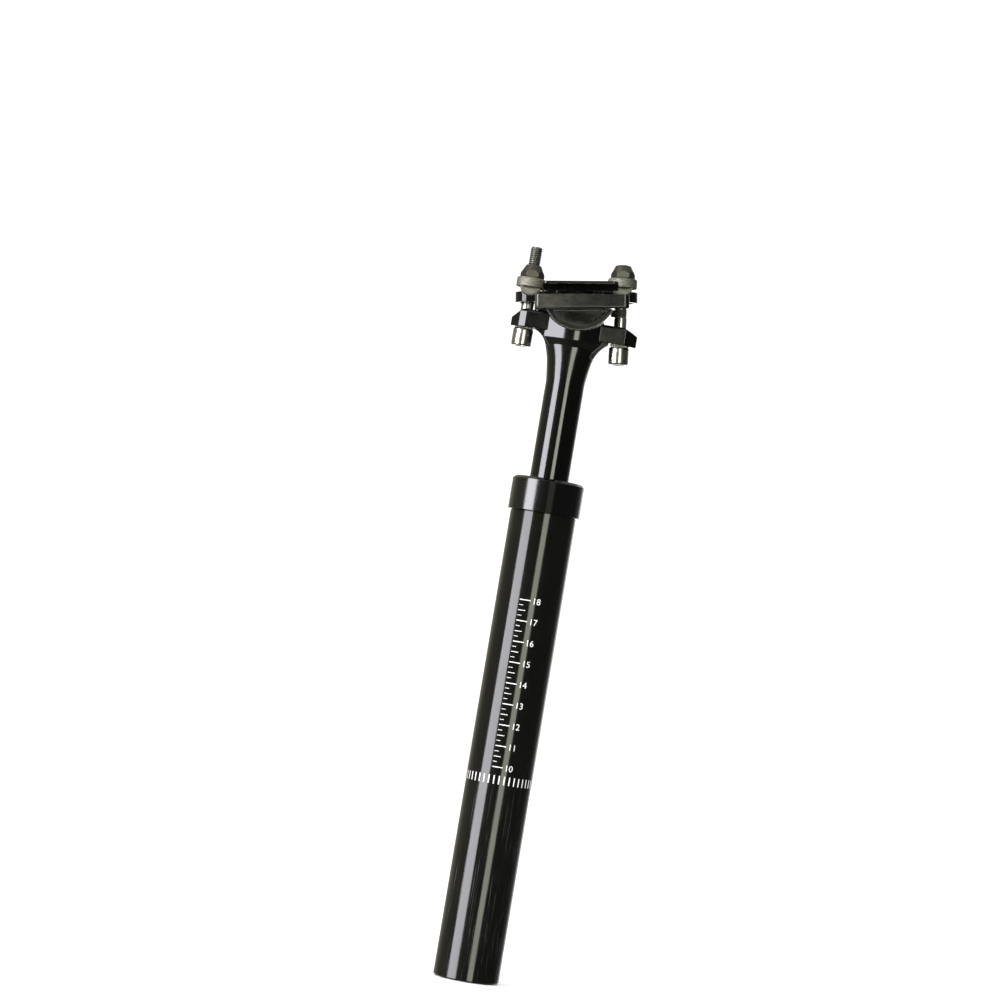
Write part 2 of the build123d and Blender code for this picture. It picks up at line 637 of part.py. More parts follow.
# how much further along its bolt the rear seat sits
REAR_UP = (R_SEAT[1] - REAR_ROCKER) / cos(radians(REAR_LEAN)) - (F_SEAT[1] - FRONT_ROCKER)
with BuildPart() as front_nut_seat:
    with BuildSketch(Plane.XY.offset(FZ + SEAT_UNDER)):
        with Locations((FRONT_X, 0)):
            Circle(SEAT_D / 2)
    extrude(amount=SEAT_OVER - SEAT_UNDER)
    chamfer(front_nut_seat.edges().sort_by(Axis.Z)[-1], 0.6)
    chamfer(front_nut_seat.edges().sort_by(Axis.Z)[0], 0.3)
    with BuildSketch(Plane.XZ.offset(-5)):
        with Locations((FRONT_X, FZ)):
            Circle(SEAT_ROCK_R)
            with Locations((0, SEAT_ROCK_R)):
                Rectangle(2 * SEAT_ROCK_R + 1, 2 * SEAT_ROCK_R, mode=Mode.SUBTRACT)
    extrude(amount=10)
    with BuildSketch(Plane.XY.offset(FZ - 8)):
        with Locations((FRONT_X, 0)):
            Circle(BOLT_D / 2 + 0.2)
    extrude(amount=16, mode=Mode.SUBTRACT)
front_nut_seat.part.label = "front_nut_seat"
export_step(front_nut_seat.part, "parts/front_nut_seat.step")

rear_seat_copy = TO_REAR * Pos(0, 0, REAR_UP) * TO_PIVOT * front_nut_seat.part
with BuildPart() as rear_nut_seat:
    add(rear_seat_copy)
rear_nut_seat.part.label = "rear_nut_seat"
export_step(rear_nut_seat.part, "parts/rear_nut_seat.step")

# ------------------------------------------------------------------ hexagon nuts
with BuildPart() as front_nut:
    with BuildSketch(Plane.XY.offset(FZ + SEAT_OVER)):
        with Locations((FRONT_X, 0)):
            RegularPolygon(NUT_AF / 2, 6, major_radius=False)
    extrude(amount=NUT_H)
    # corners turned off below, and a long cone above
    with BuildSketch(Plane.XZ):
        with BuildLine():
            Polyline(
                (FRONT_X, FZ + SEAT_OVER),
                (FRONT_X + NUT_AF / 2 - 0.1, FZ + SEAT_OVER),
                (FRONT_X + NUT_AF / 2 + 0.9, FZ + SEAT_OVER + 0.5),
                (FRONT_X + NUT_AF / 2 + 0.9, FZ + SEAT_OVER + NUT_H - 4.4),
                (FRONT_X + NUT_AF / 2 - 1.35, FZ + SEAT_OVER + NUT_H),
                (FRONT_X, FZ + SEAT_OVER + NUT_H),
                close=True,
            )
        make_face()
    revolve(axis=Axis((FRONT_X, 0, 0), (0, 0, 1)), mode=Mode.INTERSECT)
    with BuildSketch(Plane.XY.offset(FZ + SEAT_OVER - 1)):
        with Locations((FRONT_X, 0)):
            Circle(BOLT_D / 2 + 0.06)
    extrude(amount=NUT_H + 2, mode=Mode.SUBTRACT)
front_nut.part.label = "front_nut"
export_step(front_nut.part, "parts/front_nut.step")

rear_nut_copy = TO_REAR * Pos(0, 0, REAR_UP) * TO_PIVOT * front_nut.part
with BuildPart() as rear_nut:
    add(rear_nut_copy)
rear_nut.part.label = "rear_nut"
export_step(rear_nut.part, "parts/rear_nut.step")
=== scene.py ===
"""Looks of the telescoping seatpost: materials, screw threads, spring, print on the tube, light and camera.

Everything is in metres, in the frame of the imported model: +Z up along the post, +X forward, +Y left.
"""

import json
import math

import bmesh
import bpy
from mathutils import Matrix, Vector

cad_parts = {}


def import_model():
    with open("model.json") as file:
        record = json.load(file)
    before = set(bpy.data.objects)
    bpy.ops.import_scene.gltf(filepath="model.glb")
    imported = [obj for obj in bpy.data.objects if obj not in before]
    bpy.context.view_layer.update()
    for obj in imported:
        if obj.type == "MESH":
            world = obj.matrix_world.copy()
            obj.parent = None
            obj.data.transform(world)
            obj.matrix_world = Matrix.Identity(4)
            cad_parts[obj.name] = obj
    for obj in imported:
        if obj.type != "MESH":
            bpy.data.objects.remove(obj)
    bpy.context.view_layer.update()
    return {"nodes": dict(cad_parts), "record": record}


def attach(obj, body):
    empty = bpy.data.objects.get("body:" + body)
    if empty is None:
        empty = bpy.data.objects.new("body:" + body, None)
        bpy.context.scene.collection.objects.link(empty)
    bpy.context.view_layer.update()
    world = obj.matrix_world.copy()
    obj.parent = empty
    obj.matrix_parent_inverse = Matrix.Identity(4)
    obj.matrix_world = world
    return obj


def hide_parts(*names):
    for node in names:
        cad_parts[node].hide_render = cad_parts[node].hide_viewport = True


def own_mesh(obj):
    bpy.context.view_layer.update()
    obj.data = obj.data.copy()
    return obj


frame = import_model()
NODE = frame["nodes"]
SCENE = bpy.context.scene
MM = 0.001


# ---------------------------------------------------------------------------------------------------------------------
# node helpers
# ---------------------------------------------------------------------------------------------------------------------


class Net:
    """A material and short names for the nodes that it is made of."""

    def __init__(self, name, **principled):
        self.mat = bpy.data.materials.new(name)
        self.mat.use_nodes = True
        self.tree = self.mat.node_tree
        self.tree.nodes.clear()
        self.out = self.tree.nodes.new("ShaderNodeOutputMaterial")
        self.bsdf = self.tree.nodes.new("ShaderNodeBsdfPrincipled")
        self.tree.links.new(self.bsdf.outputs["BSDF"], self.out.inputs["Surface"])
        for key, value in principled.items():
            self.bsdf.inputs[key.replace("_", " ")].default_value = value
        self._coord = None

    def add(self, kind, **settings):
        node = self.tree.nodes.new(kind)
        for key, value in settings.items():
            setattr(node, key, value)
        return node

    def link(self, a, b):
        self.tree.links.new(a, b)

    def put(self, socket, value):
        """A number, a colour or another node's output goes in at a socket."""
        if isinstance(value, bpy.types.NodeSocket):
            self.link(value, socket)
        else:
            socket.default_value = value

    @property
    def coord(self):
        """The piece's own coordinates, in metres."""
        if self._coord is None:
            self._coord = self.add("ShaderNodeTexCoord").outputs["Object"]
        return self._coord

    def scaled(self, x, y, z, shift=(0, 0, 0)):
        node = self.add("ShaderNodeMapping")
        self.link(self.coord, node.inputs["Vector"])
        node.inputs["Scale"].default_value = (x, y, z)
        node.inputs["Location"].default_value = shift
        return node.outputs["Vector"]

    def noise(self, vector, scale=1.0, detail=3.0, rough=0.5, distortion=0.0):
        node = self.add("ShaderNodeTexNoise")
        self.link(vector, node.inputs["Vector"])
        node.inputs["Scale"].default_value = scale
        node.inputs["Detail"].default_value = detail
        node.inputs["Roughness"].default_value = rough
        node.inputs["Distortion"].default_value = distortion
        return node.outputs["Fac"]

    def voronoi(self, vector, scale=1.0, feature="F1"):
        node = self.add("ShaderNodeTexVoronoi", feature=feature)
        self.link(vector, node.inputs["Vector"])
        node.inputs["Scale"].default_value = scale
        return node.outputs["Distance"]

    def span(self, value, a, b, c=0.0, d=1.0, smooth=True):
        """Maps a..b to c..d, clamped."""
        node = self.add("ShaderNodeMapRange", interpolation_type="SMOOTHSTEP" if smooth else "LINEAR")
        self.put(node.inputs["Value"], value)
        for key, v in zip(("From Min", "From Max", "To Min", "To Max"), (a, b, c, d)):
            node.inputs[key].default_value = v
        return node.outputs["Result"]

    def math(self, op, a, b=0.0, clamp=False):
        node = self.add("ShaderNodeMath", operation=op, use_clamp=clamp)
        self.put(node.inputs[0], a)
        self.put(node.inputs[1], b)
        return node.outputs["Value"]

    def mix(self, fac, a, b):
        """Colours a to b."""
        node = self.add("ShaderNodeMix", data_type="RGBA")
        self.put(node.inputs["Factor"], fac)
        sockets = [s for s in node.inputs if s.type == "RGBA"]
        for s, v in zip(sockets, (a, b)):
            self.put(s, v if isinstance(v, bpy.types.NodeSocket) else (*v, 1.0))
        return [s for s in node.outputs if s.type == "RGBA"][0]

    def axis(self, letter):
        node = self.add("ShaderNodeSeparateXYZ")
        self.link(self.coord, node.inputs["Vector"])
        return node.outputs[letter]

    def edge(self, radius, low=0.02, high=0.25):
        """1 along outside and inside edges of the shape, 0 on its faces."""
        bevel = self.add("ShaderNodeBevel", samples=6)
        bevel.inputs["Radius"].default_value = radius
        geo = self.add("ShaderNodeNewGeometry")
        dot = self.add("ShaderNodeVectorMath", operation="DOT_PRODUCT")
        self.link(bevel.outputs["Normal"], dot.inputs[0])
        self.link(geo.outputs["Normal"], dot.inputs[1])
        return self.span(self.math("SUBTRACT", 1.0, dot.outputs["Value"]), low, high)

    def crevice(self, distance):
        """1 in corners that light hardly reaches, 0 in the open."""
        ao = self.add("ShaderNodeAmbientOcclusion", samples=6)
        ao.inputs["Distance"].default_value = distance
        return self.span(ao.outputs["AO"], 0.35, 0.9, 1.0, 0.0)

    def soft(self, radius):
        """The surface's direction with every edge rounded off by a small radius."""
        bevel = self.add("ShaderNodeBevel", samples=8)
        bevel.inputs["Radius"].default_value = radius
        return bevel.outputs["Normal"]

    def bump(self, *layers, base=None):
        """Layers of (height, strength, distance in metres), laid on one another."""
        normal = base
        for height, strength, distance in layers:
            node = self.add("ShaderNodeBump")
            node.inputs["Strength"].default_value = strength
            node.inputs["Distance"].default_value = distance
            self.link(height, node.inputs["Height"])
            if normal is not None:
                self.link(normal, node.inputs["Normal"])
            normal = node.outputs["Normal"]
        self.link(normal, self.bsdf.inputs["Normal"])

    def color(self, value):
        self.put(self.bsdf.inputs["Base Color"], value)

    def rough(self, value):
        self.put(self.bsdf.inputs["Roughness"], value)


# ---------------------------------------------------------------------------------------------------------------------
# materials
# ---------------------------------------------------------------------------------------------------------------------

MATERIAL = {}


def black_tube():
    """Drawn tube, gloss black: fine lengthwise drawing lines, handling haze, slide marks on its lower part."""
    n = Net("black_tube", Metallic=0.0, IOR=1.5)
    z = n.axis("Z")
    haze = n.noise(n.scaled(70, 70, 40), 1.0, 4.0, 0.6)
    lines = n.noise(n.scaled(5200, 5200, 26), 1.0, 3.0, 0.6)
    peel = n.noise(n.scaled(700, 700, 700), 1.0, 2.0)
    slide = n.noise(n.scaled(2600, 2600, 34), 1.0, 4.0, 0.65)
    edge_of_wear = n.math("ADD", z, n.math("MULTIPLY", n.noise(n.scaled(160, 160, 30)), -0.022))
    worn = n.span(edge_of_wear, 0.062, 0.100, 1.0, 0.0)
    scratch = n.math("MULTIPLY", n.span(slide, 0.56, 0.70), worn)
    base = n.mix(haze, (0.0021, 0.0022, 0.0017), (0.0039, 0.0040, 0.0033))
    n.color(n.mix(n.math("MULTIPLY", scratch, 0.45), base, (0.075, 0.075, 0.078)))
    gloss = n.span(haze, 0.3, 0.75, 0.085, 0.14)
    n.rough(n.math("ADD", gloss, n.math("MULTIPLY", scratch, 0.22)))
    n.bump((lines, 0.05, 0.00002), (peel, 0.035, 0.00006), (slide, 0.03, 0.00002))
    return n.mat


def black_collar():
    """Turned collar: fine turning rings round it, bright wear on its two outer edges."""
    n = Net("black_collar", Metallic=0.0, IOR=1.72)
    haze = n.noise(n.scaled(90, 90, 60), 1.0, 4.0, 0.6)
    rings = n.noise(n.scaled(30, 30, 9000), 1.0, 2.0, 0.6)
    peel = n.noise(n.scaled(800, 800, 800), 1.0, 2.0)
    worn = n.math("MULTIPLY", n.edge(0.0004), n.span(n.noise(n.scaled(420, 420, 420), 1.0, 4.0), 0.48, 0.72))
    base = n.mix(haze, (0.0006, 0.0007, 0.0006), (0.0014, 0.0015, 0.0014))
    n.color(n.mix(n.math("MULTIPLY", worn, 0.35), base, (0.16, 0.16, 0.165)))
    n.rough(n.math("ADD", n.span(haze, 0.3, 0.75, 0.13, 0.19), n.math("MULTIPLY", worn, 0.2)))
    n.bump((rings, 0.05, 0.00002), (peel, 0.03, 0.00006), base=n.soft(0.0004))
    return n.mat


def black_forging():
    """Polished forging: the sliding part has wiping marks along it, the head a soft forged skin with worn edges."""
    n = Net("black_forging", Metallic=0.0, IOR=1.62)
    z = n.axis("Z")
    head = n.span(z, 0.285, 0.300)
    haze = n.noise(n.scaled(110, 110, 70), 1.0, 4.0, 0.6)
    wipe = n.noise(n.scaled(5200, 5200, 40), 1.0, 3.0, 0.6)
    skin = n.noise(n.scaled(620, 620, 620), 1.0, 3.0)
    worn = n.math(
        "MULTIPLY",
        n.math("MULTIPLY", n.edge(0.0005), n.span(n.noise(n.scaled(380, 380, 380), 1.0, 4.0), 0.46, 0.70)),
        head,
    )
    base = n.mix(haze, (0.0005, 0.0005, 0.0004), (0.0013, 0.0013, 0.0011))
    n.color(n.mix(n.math("MULTIPLY", worn, 0.35), base, (0.15, 0.15, 0.155)))
    gloss = n.math("ADD", n.span(haze, 0.3, 0.75, 0.075, 0.13), n.math("MULTIPLY", head, 0.05))
    n.rough(n.math("ADD", gloss, n.math("MULTIPLY", worn, 0.2)))
    n.bump((wipe, 0.04, 0.00002), (skin, 0.05, 0.00008), base=n.soft(0.0004))
    return n.mat


def black_clamp():
    """Satin forging of cradle and yoke: fine blasted grain, edges worn through to grey metal, dust in the corners, a
    painted sheen on the jaws' outer faces and painted highlights on the half-moon ends.
    """
    n = Net("black_clamp", Metallic=0.0, IOR=1.5)
    haze = n.noise(n.scaled(140, 140, 140), 1.0, 4.0, 0.6)
    grain = n.noise(n.scaled(2600, 2600, 2600), 1.0, 2.0, 0.6)
    pits = n.voronoi(n.scaled(1500, 1500, 1500))
    worn = n.math("MULTIPLY", n.edge(0.0005), n.span(n.noise(n.scaled(360, 360, 360), 1.0, 4.0), 0.42, 0.66))
    dust = n.math("MULTIPLY", n.crevice(0.004), n.span(haze, 0.35, 0.7))
    # painted sheen: the jaws' outer faces are lightened grey in a mottled patch, most at the front
    outer = n.span(n.math("ABSOLUTE", n.axis("Y")), 0.0240, 0.0266)
    painted_jaw_sheen = n.math("MULTIPLY", outer, n.span(n.axis("X"), -0.012, 0.019))
    painted_jaw_sheen = n.math("MULTIPLY", painted_jaw_sheen, n.span(n.noise(n.scaled(260, 260, 700), 1.0, 4.0, 0.6), 0.30, 0.62, 0.55, 1.0))
    base = n.mix(haze, (0.0011, 0.0011, 0.0009), (0.0027, 0.0027, 0.0023))
    base = n.mix(n.math("MULTIPLY", dust, 0.20), base, (0.018, 0.017, 0.013))
    base = n.mix(painted_jaw_sheen, base, (0.036, 0.036, 0.029))
    # painted highlight: the cradle's half-moon ends have their rims lightened, brightest along the edges as painted
    # edge glints, and the hollows keep their polish
    side = n.math("ABSOLUTE", n.axis("Y"))
    rim_highlight = n.math("MULTIPLY", n.span(side, 0.01330, 0.01345), n.span(side, 0.01385, 0.01410, 1.0, 0.0))
    base = n.mix(n.math("MULTIPLY", rim_highlight, 0.25), base, (0.026, 0.026, 0.021))
    base = n.mix(n.math("MULTIPLY", rim_highlight, n.edge(0.0006, 0.005, 0.10)), base, (0.085, 0.085, 0.070))
    n.color(n.mix(n.math("MULTIPLY", worn, 0.45), base, (0.17, 0.17, 0.172)))
    hollow = n.span(side, 0.01300, 0.01325, 0.07, 0.0)
    gloss = n.math("SUBTRACT", n.span(haze, 0.3, 0.75, 0.13, 0.20), hollow)
    n.rough(n.math("ADD", gloss, n.math("MULTIPLY", dust, 0.25)))
    n.bump((grain, 0.08, 0.00004), (pits, 0.04, 0.00003), base=n.soft(0.0007))
    return n.mat


def plated_steel():
    """Bright plated screws: faint turning marks, grey bloom, dirt with painted shade in sockets and threads; nuts and
    seats are duller, and the nuts and thread ends are painted darker as shade.
    """
    n = Net("plated_steel", Metallic=1.0, IOR=2.4)
    z = n.axis("Z")
    dull_and_shaded = n.span(z, 0.3225, 0.3240)
    bloom = n.noise(n.scaled(330, 330, 330), 1.0, 4.0, 0.6)
    spots = n.span(n.noise(n.scaled(1300, 1300, 1300), 1.0, 3.0), 0.60, 0.74)
    fine = n.noise(n.scaled(1500, 1500, 1500), 1.0, 2.0)
    # dirt with painted shade: darker and rougher in sockets and thread roots, where light hardly reaches
    grime_and_shade = n.math("MULTIPLY", n.crevice(0.0022), n.span(bloom, 0.30, 0.65, 0.5, 1.0))
    bright = n.mix(bloom, (0.40, 0.40, 0.365), (0.54, 0.535, 0.495))
    # the seats under the nuts are the roughest, streaked by turning, up to the nuts' undersides, which differ in height
    seat = n.math("LESS_THAN", z, n.span(n.axis("X"), -0.001, 0.001, 0.3415, 0.3350))
    seat = n.math("MULTIPLY", seat, dull_and_shaded)
    # painted shade: in the upper zone the nuts get a much darker grey than the screws, standing in for shade over them;
    # the zone is also rougher
    grey = n.mix(bloom, (0.080, 0.078, 0.065), (0.130, 0.127, 0.108))
    base = n.mix(dull_and_shaded, bright, grey)
    turned = n.span(n.noise(n.scaled(420, 420, 2600), 1.0, 3.0, 0.6), 0.34, 0.66)
    base = n.mix(seat, base, n.mix(turned, (0.190, 0.186, 0.155), (0.350, 0.343, 0.292)))
    # painted shade: the thread ends above the nuts are lighter than the nuts, but still painted darker than the screws'
    # heads
    end = n.math("GREATER_THAN", z, n.span(n.axis("X"), -0.001, 0.001, 0.3480, 0.3412))
    base = n.mix(end, base, n.mix(bloom, (0.210, 0.208, 0.185), (0.285, 0.282, 0.255)))
    base = n.mix(n.math("MULTIPLY", spots, 0.12), base, (0.10, 0.095, 0.08))
    n.color(n.mix(n.math("MULTIPLY", grime_and_shade, 0.8), base, (0.035, 0.032, 0.027)))
    gloss = n.math("ADD", n.span(bloom, 0.3, 0.75, 0.22, 0.30), n.math("MULTIPLY", dull_and_shaded, 0.14))
    gloss = n.math("ADD", gloss, n.math("MULTIPLY", seat, 0.29))
    n.rough(n.math("ADD", gloss, n.math("MULTIPLY", grime_and_shade, 0.3)))
    n.bump((fine, 0.03, 0.00002), base=n.soft(0.0003))
    return n.mat


def white_print():
    """Screen print on the tube, worn thin in places."""
    n = Net("white_print", Metallic=0.0, IOR=1.5)
    rub = n.span(n.noise(n.scaled(900, 900, 260), 1.0, 4.0, 0.65), 0.56, 0.74)
    n.color(n.mix(rub, (0.62, 0.62, 0.60), (0.20, 0.20, 0.19)))
    n.rough(n.span(rub, 0.0, 1.0, 0.32, 0.22))
    n.bump((n.noise(n.scaled(2600, 2600, 2600), 1.0, 2.0), 0.06, 0.00002))
    return n.mat


def plain_alloy():
    """Turned alloy with clear anodising: concentric tool marks, small knocks on the edges."""
    n = Net("plain_alloy", Metallic=1.0, IOR=1.45)
    x, y = n.axis("X"), n.axis("Y")
    radius = n.math("SQRT", n.math("ADD", n.math("MULTIPLY", x, x), n.math("MULTIPLY", y, y)))
    wave = n.math("SINE", n.math("MULTIPLY", radius, 2 * math.pi / 0.00022))
    side = n.noise(n.scaled(30, 30, 7000), 1.0, 2.0)
    tone = n.noise(n.scaled(180, 180, 180), 1.0, 4.0, 0.6)
    knock = n.math("MULTIPLY", n.edge(0.0003), n.span(n.noise(n.scaled(700, 700, 700), 1.0, 3.0), 0.5, 0.7))
    # dirt with painted shade: darker in the corners, where light hardly reaches
    grime_and_shade = n.crevice(0.003)
    base = n.mix(tone, (0.52, 0.52, 0.53), (0.68, 0.68, 0.69))
    base = n.mix(n.math("MULTIPLY", grime_and_shade, 0.6), base, (0.10, 0.092, 0.08))
    n.color(n.mix(n.math("MULTIPLY", knock, 0.6), base, (0.86, 0.86, 0.87)))
    n.rough(n.span(tone, 0.3, 0.75, 0.24, 0.36))
    n.bump((wave, 0.06, 0.00002), (side, 0.05, 0.00002))
    return n.mat


def spring_steel():
    """Spring wire with a dark phosphate coat, oiled in patches."""
    n = Net("spring_steel", Metallic=1.0, IOR=1.45)
    patch = n.noise(n.scaled(190, 190, 190), 1.0, 4.0, 0.6)
    grain = n.noise(n.scaled(3200, 3200, 3200), 1.0, 2.0)
    n.color(n.mix(patch, (0.055, 0.056, 0.060), (0.16, 0.16, 0.168)))
    n.rough(n.span(patch, 0.3, 0.75, 0.30, 0.48))
    n.bump((grain, 0.12, 0.00003))
    return n.mat


def key_brass():
    """Milled brass with tool lines along it and brown tarnish."""
    n = Net("key_brass", Metallic=1.0, IOR=1.45)
    tarnish = n.noise(n.scaled(300, 300, 300), 1.0, 4.0, 0.65)
    lines = n.noise(n.scaled(5000, 5000, 60), 1.0, 2.0)
    n.color(n.mix(n.span(tarnish, 0.4, 0.75), (0.71, 0.52, 0.23), (0.33, 0.20, 0.085)))
    n.rough(n.span(tarnish, 0.3, 0.75, 0.22, 0.42))
    n.bump((lines, 0.08, 0.00003))
    return n.mat


def seal_rubber():
    """Moulded rubber: matt, slightly mottled, with a greasy film."""
    n = Net("seal_rubber", Metallic=0.0, IOR=1.5)
    mottle = n.noise(n.scaled(260, 260, 260), 1.0, 4.0, 0.6)
    grain = n.noise(n.scaled(2600, 2600, 2600), 1.0, 2.0)
    n.color(n.mix(mottle, (0.007, 0.007, 0.007), (0.016, 0.0155, 0.015)))
    n.rough(n.span(mottle, 0.3, 0.75, 0.45, 0.68))
    n.bump((grain, 0.15, 0.00004))
    return n.mat


def bush_plastic():
    """Moulded acetal: dull sheen, fine moulded grain, a little grease."""
    n = Net("bush_plastic", Metallic=0.0, IOR=1.48)
    tone = n.noise(n.scaled(150, 150, 150), 1.0, 4.0, 0.6)
    grain = n.noise(n.scaled(1900, 1900, 1900), 1.0, 2.0)
    lines = n.noise(n.scaled(20, 20, 4200), 1.0, 2.0)
    n.color(n.mix(tone, (0.030, 0.030, 0.032), (0.058, 0.058, 0.060)))
    n.rough(n.span(tone, 0.3, 0.75, 0.32, 0.46))
    n.bump((grain, 0.08, 0.00003), (lines, 0.05, 0.00002))
    return n.mat


for make in (
    black_tube,
    black_collar,
    black_forging,
    black_clamp,
    plated_steel,
    plain_alloy,
    spring_steel,
    key_brass,
    seal_rubber,
    bush_plastic,
    white_print,
):
    MATERIAL[make.__name__] = make()

for part in frame["record"]["subparts"]:
    mesh = NODE[part["node"]].data
    mesh.materials.clear()
    mesh.materials.append(MATERIAL[part["material_slot"]])


# ---------------------------------------------------------------------------------------------------------------------
# pieces
# ---------------------------------------------------------------------------------------------------------------------

Z_P = 330.4  # rod centre and tilt axis above the tube's lower edge, mm


def finish(name, bm, material, body, turn=math.radians(32)):
    """A mesh from a bmesh in millimetres, smooth but for its sharp edges, riding on a body."""
    bmesh.ops.remove_doubles(bm, verts=bm.verts, dist=1e-4)
    bmesh.ops.dissolve_degenerate(bm, edges=bm.edges, dist=1e-4)
    bmesh.ops.recalc_face_normals(bm, faces=bm.faces)
    bmesh.ops.scale(bm, vec=(MM, MM, MM), verts=bm.verts)
    mesh = bpy.data.meshes.new(name)
    bm.to_mesh(mesh)
    bm.free()
    mesh.polygons.foreach_set("use_smooth", [True] * len(mesh.polygons))
    mesh.set_sharp_from_angle(angle=turn)
    mesh.materials.append(MATERIAL[material])
    obj = bpy.data.objects.new(name, mesh)
    SCENE.collection.objects.link(obj)
    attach(obj, body)
    return obj


def rings(bm, place, levels, columns, close_start=None, close_end=None):
    """Skins a stack of rings; a level is (height, radius or radius by angle)."""
    rows = []
    for height, radius in levels:
        row = []
        for i in range(columns):
            a = 2 * math.pi * i / columns
            r = radius(a) if callable(radius) else radius
            row.append(bm.verts.new(place @ Vector((r * math.cos(a), r * math.sin(a), height))))
        rows.append(row)
    for low, high in zip(rows, rows[1:]):
        for i in range(columns):
            k = (i + 1) % columns
            bm.faces.new((low[i], low[k], high[k], high[i]))
    for row, height in ((rows[0], close_start), (rows[-1], close_end)):
        if height is not None:
            tip = bm.verts.new(place @ Vector((0, 0, height)))
            for i in range(columns):
                bm.faces.new((row[i], row[(i + 1) % columns], tip))


def hexagon(across):
    """Radius by angle of a hexagon."""
    return lambda a: across / 2 / math.cos((a + math.pi / 6) % (math.pi / 3) - math.pi / 6)


def bolt(name, node, body, place):
    """M6 socket screw, head downwards; heights from the head's upper face. The upper part of its shank has a real thread."""
    columns, pitch, steps = 48, 1.0, 8
    low, tip, start = -8.3, 39.79, 13.6
    socket = hexagon(5.0)
    bm = bmesh.new()
    rings(
        bm,
        place,
        [
            (low + 4.4, socket),
            (low + 0.35, socket),
            (low, lambda a: socket(a) + 0.3),
            (low, 4.05),
            (low + 0.06, 4.25),
            (low + 0.55, 4.74),
            (low + 0.75, 4.8),
            (-0.5, 4.8),
            (-0.3, 4.74),
            (0.0, 4.42),
            (0.0, 3.3),
            (0.3, 3.0),
            (start, 2.99),
        ],
        columns,
        close_start=low + 4.1,
    )
    # thread: rows that climb one pitch in a turn
    profile = (2.99, 2.99, 2.80, 2.60, 2.43, 2.43, 2.60, 2.80)
    count = int(steps * ((tip - start) / pitch + 2))
    grid = []
    for j in range(count + 1):
        row = []
        for i in range(columns):
            z = start + pitch * (j / steps + i / columns - 1)
            z = min(max(z, start), tip)
            fade = min((z - start) / (1.5 * pitch), 1.0)
            r = 2.99 + (profile[j % steps] - 2.99) * fade
            r = min(r, 2.28 + (tip - z))
            a = 2 * math.pi * i / columns
            row.append(bm.verts.new(place @ Vector((r * math.cos(a), r * math.sin(a), z))))
        grid.append(row)
    for j in range(count):
        for i in range(columns - 1):
            bm.faces.new((grid[j][i], grid[j][i + 1], grid[j + 1][i + 1], grid[j + 1][i]))
        if j + steps + 1 <= count:
            bm.faces.new((grid[j][-1], grid[j + steps][0], grid[j + steps + 1][0], grid[j + 1][-1]))
    rings(bm, place, [(tip, 2.28), (tip, 1.2)], columns, close_end=tip + 0.0)
    obj = finish(name, bm, "plated_steel", body, math.radians(40))
    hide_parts(node)
    return obj


def place_at(x, z, lean=0.0):
    return Matrix.Translation((x, 0, Z_P + z)) @ Matrix.Rotation(math.radians(lean), 4, "Y")


bolt("front_screw_look", "front_bolt", "front_screw", place_at(24.0, -20.2))
bolt("rear_screw_look", "rear_bolt", "rear_screw", place_at(-22.6, -21.7, 6.2))


def spring(name, z_from, z_to):
    """A stretch of the coil spring's wire between two heights, with closed end turns."""
    wire, radius, bottom, top = 1.9, 10.2, 18.0, 146.4
    turns = 14.0
    lowest, highest = bottom + wire, top - wire

    def height(s):
        """Wire's centre at turn s: about one flat turn at each end."""
        flat = 0.9
        lead = 2 * wire * 0.85
        if s < flat:
            return lowest + lead * s / flat * 0.9
        if s > turns - flat:
            return highest - lead * (turns - s) / flat * 0.9
        a, b = lowest + lead * 0.9, highest - lead * 0.9
        return a + (b - a) * (s - flat) / (turns - 2 * flat)

    per_turn, sides = 48, 14
    marks = [i / per_turn for i in range(int(turns * per_turn) + 1)]
    marks = [s for s in marks if z_from <= height(s) <= z_to]
    bm = bmesh.new()
    rows = []
    for s in marks:
        a = 2 * math.pi * s
        out = Vector((math.cos(a), math.sin(a), 0))
        centre = out * radius + Vector((0, 0, height(s)))
        row = []
        for k in range(sides):
            b = 2 * math.pi * k / sides
            row.append(bm.verts.new(centre + out * (wire * math.cos(b)) + Vector((0, 0, wire * math.sin(b)))))
        rows.append(row)
    for p, q in zip(rows, rows[1:]):
        for k in range(sides):
            m = (k + 1) % sides
            bm.faces.new((p[k], p[m], q[m], q[k]))
    bm.faces.new(rows[0])
    bm.faces.new(rows[-1])
    return finish(name, bm, "spring_steel", "tube")


SPRING_CUT = 50.0
upper_coils = spring("spring_upper_coils", SPRING_CUT, 200.0)
lower_coils = spring("spring_lower_coils", 0.0, SPRING_CUT)
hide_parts("main_spring")
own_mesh(upper_coils)
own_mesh(lower_coils)


